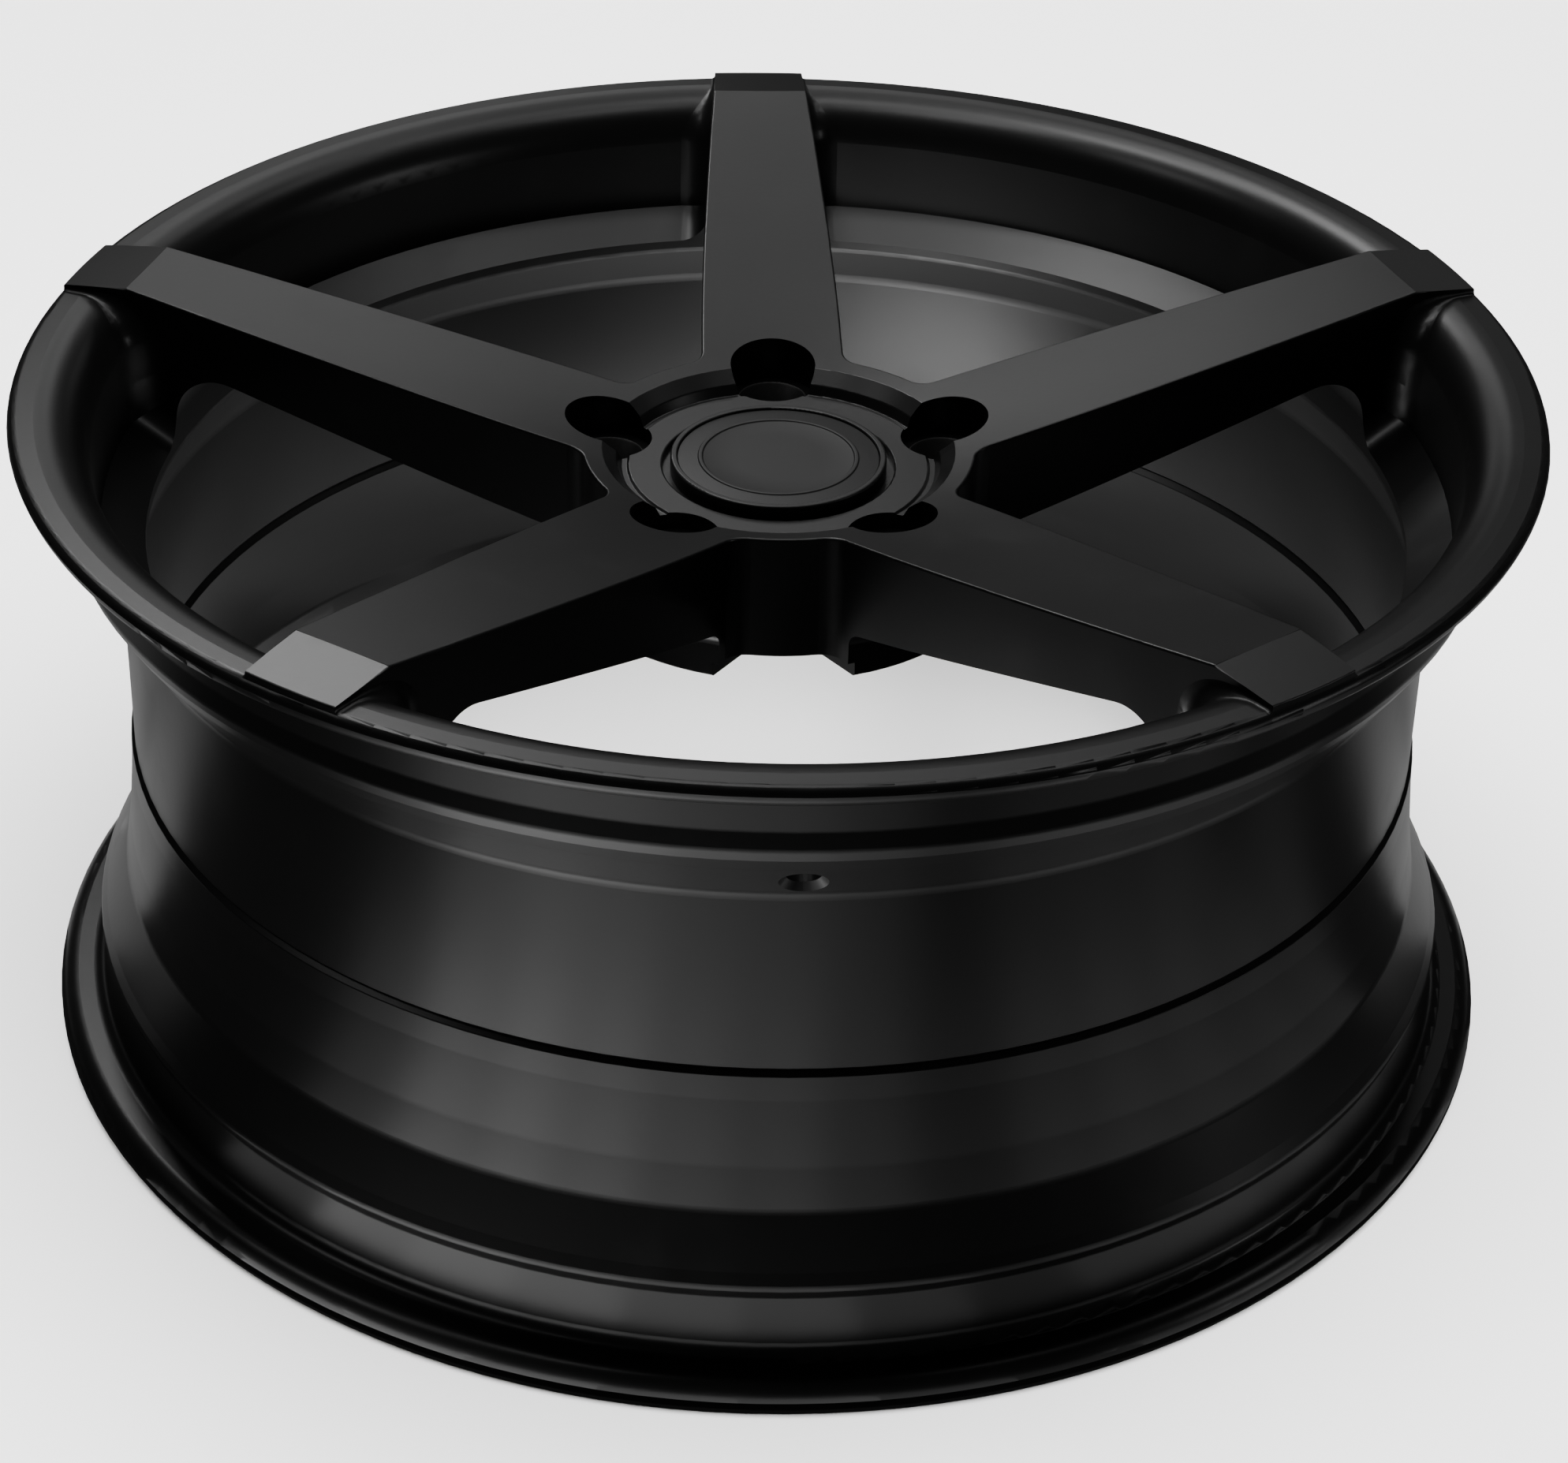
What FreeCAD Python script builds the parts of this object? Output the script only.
import FreeCAD, Part
import math
import os
from FreeCAD import Vector as V

# Forged five-spoke wheel, 20 x 9 J, lying face up.
# Millimetres. Origin: centre of the inboard flange's rest plane. +Z points out of the face.
# One spoke points along +Y and the valve hole is opposite it, at -Y.

os.makedirs("parts", exist_ok=True)

# ---- rim contour: standard 5 degree drop-centre rim, code 20, J flange
BEAD_DIAMETER = 512.8        # bead seat at the heel
RIM_WIDTH = 228.6            # 9 inches between the two bead faces
FLANGE_HEIGHT = 17.3         # heel to the flange's largest circle
FLANGE_CURL = 7.6            # bead face to the plane of that circle
FLANGE_TIP = 12.6            # bead face to the outermost plane
FLANGE_ROUND = 7.0
SEAT_TAPER = 5.0             # degrees
FRONT_SEAT = 18.9            # lengths of the two bead seats
REAR_SEAT = 22.7
HUMP_DROP = 0.1              # heel to the hump's top, radially
WELL_DEPTH = 18.0            # heel to the drop centre
BARREL_WALL = 3.9
WELD_STEP = 9.1              # the weld is this far inboard of the mid plane

# ---- hub
OFFSET = 42.0                # mounting pad outboard of the rim's mid plane
CENTRE_BORE = 71.6           # diameter
PITCH_CIRCLE = 130.0
LUG_HOLE = 15.0              # for M14 bolts
LUG_POCKET = 32.0            # diameter
LUG_DEPTH = 42.0             # pocket floor below the outboard flange's plane
SEAT_CONE = 60.0             # degrees, whole angle
CONE_WIDTH = 4.7             # radial width of the cone
SEAT_WALL = 0.8              # cone's mouth to the insert's outside
SEAT_FOOT = 1.86             # insert left below the cone
PAD_RADIUS = 80.0
HUB_RADIUS = 71.5            # hub's side wall between the spokes
HUB_EDGE_RADIUS = 64.2       # edge of the round recess in the face
HUB_EDGE_DEPTH = 28.4        # below the outboard flange's plane
RECESS_DEPTH = 35.5
CAP_SEAT_DEPTH = 38.0
CAP_HEIGHT = 6.2
RELIEF_DEPTH = 5.6           # between the bolt holes, in the pad
RELIEF_HALF = 24.3           # half the width of the pad left at each bolt hole
RELIEF_RADIUS = 50.0
VALVE_HOLE = 11.3

# ---- spokes
SPOKES = 5
STEP = 360.0 / SPOKES
ROOT_RADIUS = 85.0           # the spoke begins to narrow here
HUB_HALF_WIDTH = 26.6        # spoke half width there
TIP_HALF_WIDTH = 19.2        # and at the lip
FACE_SLOPE = 0.19            # rise of the face per millimetre of radius
BACK_SLOPE = 0.28
BACK_DEPTH = 62.1            # back of the spokes at the pad's edge
FACET_LENGTH = 28.1          # from a straight crease the face falls to the rim
END_SLOPE = 0.10
END_INSET = 1.9              # spoke ends stand this far inside the flange's largest circle
CORNER = 11.0                # cutter radius where flanks meet the lip
HUB_CORNER = 9.0
LIP_BLEND = 1.5              # flank fillet on top of the lip, growing to CORNER down the wall
EDGE_ROUND = 0.8             # tumbled edges along the spokes
END_ROUND = 0.7
MERGE = 1e-4                 # cutter and forging share edges along the spokes

# ---- lip and dish
LIP_CROWN = 1.3
LIP_WIDTH = 26.7
LIP_ROUND = 18.5
WALL_LEAN = 2.8
LEDGE_DEPTH = 43.8
LEDGE_SLOPE = 0.586
LEDGE_STEP = 5.5             # barrel's inner wall to the ledge's edge

# ---- centre cap
CAP_GAP = 0.4                # skirt to its bore, on the radius
CAP_LEDGE = 3.2              # the cap's rim outside the skirt
CAP_GROOVE = 2.9             # open groove round the cap
CAP_WALL = 2.5
INLAY_DEPTH = 3.6
CAP_FLOOR = 2.0
WIRE = 1.5                   # diameter
FINGERS = 8

seat_r = BEAD_DIAMETER / 2
rim_r = seat_r + FLANGE_HEIGHT
well_r = seat_r - WELL_DEPTH
inner_r = well_r - BARREL_WALL
ledge_r = inner_r - LEDGE_STEP
hump_r = seat_r - HUMP_DROP
bead_rear = FLANGE_TIP
bead_front = bead_rear + RIM_WIDTH
mid_plane = (bead_rear + bead_front) / 2
ref = bead_front + FLANGE_CURL          # plane of the outboard flange's largest circle
pad_back = mid_plane + OFFSET
joint = mid_plane - WELD_STEP           # where the two barrel halves meet
taper = math.tan(math.radians(SEAT_TAPER))

lip_top = ref + LIP_CROWN
lip_inner = rim_r - LIP_WIDTH
kink_r = rim_r - FACET_LENGTH
end_r = rim_r - END_INSET
hub_edge_z = ref - HUB_EDGE_DEPTH
pad_top = ref - RECESS_DEPTH
cap_seat = ref - CAP_SEAT_DEPTH
cap_top = cap_seat + CAP_HEIGHT
lug_floor = ref - LUG_DEPTH
lug_r = PITCH_CIRCLE / 2
bore_r = CENTRE_BORE / 2
cap_bore = bore_r + 0.8
skirt_r = cap_bore - CAP_GAP
cap_r = skirt_r + CAP_LEDGE
groove_r = cap_r + CAP_GROOVE


# ---- drawing helpers
def rounded(before, point, after, radius):
    """Start, middle and end of the arc that rounds one corner of an outline."""
    to_before = (before - point).normalize()
    to_after = (after - point).normalize()
    half = to_before.getAngle(to_after) / 2
    reach = radius / math.tan(half)
    inward = (to_before + to_after).normalize()
    middle = point + inward * (radius / math.sin(half) - radius)
    return point + to_before * reach, middle, point + to_after * reach


def outline(points):
    """Closed wire in the XZ plane from (radius, height) or (radius, height, rounding)."""
    place = [V(p[0], 0, p[1]) for p in points]
    count = len(place)
    spans = []
    for i, p in enumerate(points):
        if len(p) > 2:
            spans.append(rounded(place[i - 1], place[i], place[(i + 1) % count], p[2]))
        else:
            spans.append((place[i], None, place[i]))
    edges = []
    for i in range(count):
        start, middle, end = spans[i]
        if middle is not None:
            edges.append(Part.Arc(start, middle, end).toShape())
        following = spans[(i + 1) % count][0]
        if end.distanceToPoint(following) > 1e-6:
            edges.append(Part.LineSegment(end, following).toShape())
    return Part.Wire(edges)


def turned(points, sweep=360):
    return Part.Face(outline(points)).revolve(V(0, 0, 0), V(0, 0, 1), sweep)


def spun(shape, degrees):
    copy = shape.copy()
    copy.rotate(V(0, 0, 0), V(0, 0, 1), degrees)
    return copy


def all_round(shape, first=0.0):
    return [spun(shape, first + STEP * k) for k in range(SPOKES)]


def radius_of(point):
    return math.hypot(point.x, point.y)


def face_z(r):
    return hub_edge_z + FACE_SLOPE * (r - HUB_EDGE_RADIUS)


def back_z(r):
    return ref - BACK_DEPTH + BACK_SLOPE * (r - PAD_RADIUS)


def save(name, shape):
    shape.exportStep("parts/" + name + ".step")
    print(name, "valid", shape.isValid(), "solids", len(shape.Solids), "cm3", round(shape.Volume / 1000, 1))


# ---- front forging: one turned section, then everything between the spokes is cut away
hump_z = bead_front - FRONT_SEAT - 6.5
recess_r = HUB_EDGE_RADIUS - 9.8
section = [
    (bore_r + 1.2, pad_back), (PAD_RADIUS, pad_back, 1.0),
    (PAD_RADIUS, back_z(PAD_RADIUS), 6), (ledge_r, back_z(ledge_r), 18), (ledge_r, ref - 57, 6),
    (inner_r - 0.2, ref - 72, 12), (inner_r, joint + 1.2), (inner_r + 0.9, joint),
    (well_r - 0.9, joint), (well_r, joint + 1.2), (well_r, ref - 61, 8),
    (hump_r - 5.3, hump_z - 10.5, 2), (hump_r - 1.7, hump_z - 4.5, 2), (hump_r, hump_z, 3),
    (seat_r - taper * FRONT_SEAT, bead_front - FRONT_SEAT, 3),
    (seat_r, bead_front, 5), (rim_r, bead_front, FLANGE_ROUND), (rim_r, face_z(rim_r)),
    (HUB_EDGE_RADIUS, hub_edge_z, 0.6), (HUB_EDGE_RADIUS - 5.2, pad_top + 2.8, 1.5),
    (HUB_EDGE_RADIUS - 7.0, pad_top - 0.8, 0.4), (recess_r + 0.8, pad_top - 0.8, 0.4),
    (recess_r, pad_top, 0.4), (groove_r, pad_top, 0.8), (groove_r, cap_seat), (cap_bore, cap_seat),
    (cap_bore, pad_back + 25), (bore_r, pad_back + 24.2), (bore_r, pad_back + 1.2),
]
forging = turned(section)

# Above the lip, the dish wall and the ledge there is air between the spokes.
far_out = rim_r + 66
sky = ref + 40
wall_foot = lip_inner - WALL_LEAN
ledge_in = 150.0
ledge_z = ref - LEDGE_DEPTH
air = turned([
    (far_out, lip_top - 3.5), (rim_r, lip_top - 3.5), (rim_r, lip_top, 3.5), (lip_inner, lip_top, LIP_ROUND),
    (wall_foot, ledge_z), (ledge_in, ledge_z - LEDGE_SLOPE * (wall_foot - ledge_in)), (ledge_in, sky),
    (far_out, sky),
])
air = spun(air, 180)


def half_width(length):
    along = min(max((length - ROOT_RADIUS) / (kink_r - ROOT_RADIUS), 0), 1)
    return HUB_HALF_WIDTH + (TIP_HALF_WIDTH - HUB_HALF_WIDTH) * along ** 1.4


def flank(side):
    """One edge of the window that is centred on +X: the flank of the next spoke."""
    turn = math.radians(STEP / 2)
    steps = [ROOT_RADIUS + (kink_r - ROOT_RADIUS) * k / 5 for k in range(6)]
    points = []
    for length in [ROOT_RADIUS - 45] + steps + [rim_r + 56]:
        w = half_width(length)
        x = length * math.cos(turn) + w * math.sin(turn)
        y = length * math.sin(turn) - w * math.cos(turn)
        points.append(V(x, side * y, 0))
    curve = Part.BSplineCurve()
    curve.interpolate(points)
    return points[0], curve.toShape(), points[-1]


left_in, left_edge, left_out = flank(1)
right_in, right_edge, right_out = flank(-1)
apex = V(far_out + 20, 0, 0)
window_plan = Part.Wire([
    Part.LineSegment(right_in, left_in).toShape(), left_edge,
    Part.LineSegment(left_out, apex).toShape(), Part.LineSegment(apex, right_out).toShape(),
    right_edge,
])
window = Part.Face(window_plan).extrude(V(0, 0, 400)).cut(Part.makeCylinder(HUB_RADIUS, 400))


def corners(shape, low, high):
    """The upright edges whose middle is between two radii, off the X axis."""
    found = []
    for e in shape.Edges:
        ends = e.Vertexes
        tall = len(ends) == 2 and abs(ends[1].Point.z - ends[0].Point.z) > 40
        if tall and low < radius_of(e.CenterOfMass) < high and abs(e.CenterOfMass.y) > 5:
            found.append(e)
    return found


window = window.makeFillet(HUB_CORNER, corners(window, HUB_RADIUS - 11, HUB_RADIUS + 19))
through = window.common(spun(Part.makeCylinder(ledge_r, 200, V(0, 0, ref - 140)), 180))
through = through.makeFillet(CORNER, corners(through, ledge_r - 29, ledge_r + 11))
dish = window.common(air)


def blended(shape, plan):
    """Fillets with their own radius at each end: plan holds (edge, first radius, last radius)."""
    page = FreeCAD.newDocument("blend")
    base = page.addObject("Part::Feature", "Base")
    base.Shape = shape
    fillet = page.addObject("Part::Fillet", "Fillet")
    fillet.Base = base
    fillet.Edges = plan
    page.recompute()
    result = fillet.Shape.copy()
    FreeCAD.closeDocument(page.Name)
    return result


# The flank fillet is wide on the ledge and down the wall, and fades out on top of the lip.
plan = []
for number, edge in enumerate(dish.Edges, 1):
    if not isinstance(edge.Curve, Part.BSplineCurve):
        continue
    ends = [radius_of(v.Point) for v in edge.Vertexes]
    high_z = max(v.Point.z for v in edge.Vertexes)
    starts_out = radius_of(edge.valueAt(edge.FirstParameter)) > lip_inner + 8
    if max(ends) < lip_inner - 0.5 and high_z < ref - 15:
        plan.append((number, CORNER, CORNER))
    elif max(ends) < rim_r - 7.7 and min(ends) > lip_inner - 7:
        plan.append((number, LIP_BLEND, CORNER) if starts_out else (number, CORNER, LIP_BLEND))
    elif max(ends) < rim_r - 2.7 and min(ends) > rim_r - 13.7:
        plan.append((number, LIP_BLEND, LIP_BLEND))
dish = blended(dish, plan)

first_window = 90 - STEP / 2
for cutter in all_round(dish, first_window) + all_round(through, first_window):
    forging = forging.cut(cutter)
forging = forging.cut(air.cut(Part.makeCylinder(end_r, ref + 100))).removeSplitter()
print("windows cut", forging.isValid(), len(forging.Solids), len(forging.Faces))

# All edges of the conical face are rounded, between the spokes and along them.
cones = [f for f in forging.Faces if isinstance(f.Surface, Part.Cone) and f.CenterOfMass.z > ref - 30]
face = max(cones, key=lambda f: f.Area)
rim_side = []
for e in face.Edges:
    nearest = min(radius_of(v.Point) for v in e.Vertexes)
    if nearest > HUB_RADIUS - 1.5 and radius_of(e.CenterOfMass) < end_r - 1.8:
        rim_side.append(e)
forging = forging.makeFillet(EDGE_ROUND, rim_side)
print("edges rounded", len(rim_side), forging.isValid())

# The face of each spoke is creased straight across and falls away to the rim, its two sides
# rounded like the other edges.
kink_z = face_z(kink_r)
clear = TIP_HALF_WIDTH + 7
brow = TIP_HALF_WIDTH - END_ROUND
bulge = math.sqrt(0.5) * END_ROUND


def crease(across, up):
    return V(across, kink_r, kink_z + up)


def line(a, b):
    return Part.LineSegment(a, b).toShape()


facet_plan = Part.Wire([
    line(crease(-clear, -END_ROUND), crease(-TIP_HALF_WIDTH, -END_ROUND)),
    Part.Arc(crease(-TIP_HALF_WIDTH, -END_ROUND), crease(-brow - bulge, bulge - END_ROUND),
             crease(-brow, 0)).toShape(),
    line(crease(-brow, 0), crease(brow, 0)),
    Part.Arc(crease(brow, 0), crease(brow + bulge, bulge - END_ROUND),
             crease(TIP_HALF_WIDTH, -END_ROUND)).toShape(),
    line(crease(TIP_HALF_WIDTH, -END_ROUND), crease(clear, -END_ROUND)),
    line(crease(clear, -END_ROUND), crease(clear, 40)),
    line(crease(clear, 40), crease(-clear, 40)),
    line(crease(-clear, 40), crease(-clear, -END_ROUND)),
])
facet = Part.Face(facet_plan).extrude(V(0, 60, -60 * END_SLOPE))
forging = forging.cut(all_round(facet), MERGE)
facet_area = 2 * brow * (end_r - kink_r)
tips = []
for f in forging.Faces:
    if isinstance(f.Surface, Part.Plane) and f.CenterOfMass.z > ref and 0.8 < f.Area / facet_area < 1.2:
        tips += [e for e in f.Edges if radius_of(e.CenterOfMass) > end_r - 0.8 and e.Length > 5]
forging = forging.makeFillet(END_ROUND, tips)
print("spoke ends", len(tips), forging.isValid(), len(forging.Faces))

# Lug pockets, seats and bolt holes.
cone_r = LUG_HOLE / 2 + CONE_WIDTH
cone_depth = CONE_WIDTH / math.tan(math.radians(SEAT_CONE / 2))
insert_r = cone_r + SEAT_WALL
insert_depth = cone_depth + SEAT_FOOT
lug = Part.makeCylinder(LUG_POCKET / 2, 80, V(0, lug_r, lug_floor))
lug = lug.fuse(Part.makeCylinder(insert_r, insert_depth + 20, V(0, lug_r, lug_floor - insert_depth)))
lug = lug.fuse(Part.makeCylinder(LUG_HOLE / 2, 80, V(0, lug_r, pad_back - 5)))
for cutter in all_round(lug):
    forging = forging.cut(cutter)

# Relief in the mounting pad between the bolt holes.
turn = math.radians(STEP / 2)
tip = V(RELIEF_HALF / math.sin(turn), 0, pad_back - 1)
far = V(math.cos(turn), math.sin(turn), 0) * (PAD_RADIUS + 10)
near = V(math.cos(turn), -math.sin(turn), 0) * (PAD_RADIUS + 10)
wedge = Part.Face(Part.makePolygon([tip, tip + far, tip + near, tip]))
wedge = wedge.extrude(V(0, 0, RELIEF_DEPTH + 1)).cut(Part.makeCylinder(RELIEF_RADIUS, 400))
for cutter in all_round(wedge, first_window):
    forging = forging.cut(cutter)

# Valve hole through the slope behind the outboard hump.
valve_at = V(0, 11.6 - seat_r, bead_front - 44.4)
valve_axis = V(0, -0.82, -0.572).normalize()
valve_r = VALVE_HOLE / 2
bore = Part.makeCylinder(valve_r, 40, valve_at - valve_axis * 20, valve_axis)
mouth = Part.makeCone(valve_r, valve_r + 4, 4, valve_at - valve_axis * 2.4, valve_axis)
forging = forging.cut(bore).cut(mouth)
print("forging", forging.isValid(), len(forging.Solids), len(forging.Faces))

save("front_forging", forging)

# ---- rear barrel
rear_hump_z = bead_rear + REAR_SEAT + 5
rear = [
    (inner_r + 0.9, joint), (well_r - 0.9, joint), (well_r + 1.2, joint - 1.5, 0.5),
    (well_r + 1.6, joint - 11, 20), (well_r + 3.8, bead_rear + 68.2, 30), (well_r + 6.2, bead_rear + 51.4, 8),
    (hump_r - 2.7, rear_hump_z + 5, 4), (hump_r, rear_hump_z, 3),
    (seat_r - taper * REAR_SEAT, bead_rear + REAR_SEAT, 3), (seat_r, bead_rear, 5),
    (rim_r, bead_rear, FLANGE_ROUND), (rim_r, 3.3, 2), (rim_r - 1.9, 0), (rim_r - 5.1, 0),
    (rim_r - 5.5, bead_rear - 5, 2.5), (seat_r - 3.8, bead_rear - 5, 2), (seat_r - 5.0, bead_rear + 5.4, 8),
    (seat_r - 5.6, bead_rear + 23.4, 6), (well_r + 2.2, bead_rear + 49.4, 10),
    (well_r + 3.8 - BARREL_WALL, bead_rear + 68.2, 30), (inner_r + 0.4, joint - 14, 10),
    (inner_r - 1.2, joint - 2.1, 0.5),
]
save("rear_barrel", turned(rear))

# ---- five pressed-in lug seats
seat = turned([
    (LUG_HOLE / 2, lug_floor - insert_depth), (insert_r, lug_floor - insert_depth),
    (insert_r, lug_floor), (cone_r, lug_floor), (LUG_HOLE / 2, lug_floor - cone_depth),
])
seat.translate(V(0, lug_r, 0))
save("lug_seats", Part.makeCompound(all_round(seat)))

# ---- centre cap: cup with spring fingers, inlaid disc and wire ring
inlay_r = cap_r - CAP_WALL
inlay_z = cap_top - INLAY_DEPTH
finger_r = skirt_r - 2.9
wire_in = skirt_r - 1.2
wire_z = cap_seat - 7
cup = turned([
    (finger_r, wire_z - 7), (skirt_r, wire_z - 7, 0.6), (skirt_r, wire_z - 1.2), (wire_in, wire_z - 1.2),
    (wire_in, wire_z + 1.2), (skirt_r, wire_z + 1.2), (skirt_r, cap_seat), (cap_r, cap_seat),
    (cap_r, cap_top, 0.9), (inlay_r, cap_top, 0.5), (inlay_r, inlay_z), (0, inlay_z),
    (0, inlay_z - CAP_FLOOR), (finger_r, inlay_z - CAP_FLOOR),
])
slot = Part.makeBox(10, 3, 9, V(finger_r - 3.3, -1.5, wire_z - 8))
for k in range(FINGERS):
    cup = cup.cut(spun(slot, (k + 0.5) * 360 / FINGERS))
save("cap_cup", cup)

disc_r = inlay_r - 0.2
disc_top = cap_top - 0.9
ring_r = disc_r - 7.3
disc = turned([
    (0, inlay_z), (disc_r, inlay_z), (disc_r, disc_top, 0.3), (ring_r, disc_top, 0.2),
    (ring_r - 0.4, disc_top + 0.5, 0.25), (ring_r - 1.5, disc_top + 0.5, 0.25),
    (ring_r - 1.9, disc_top, 0.2), (0, disc_top),
])
save("cap_disc", disc)

wire_r = WIRE / 2
wire = Part.Face(Part.Wire(Part.makeCircle(wire_r, V(wire_in + wire_r, 0, wire_z), V(0, 1, 0))))
save("cap_spring", wire.revolve(V(0, 0, 0), V(0, 0, 1), 350))
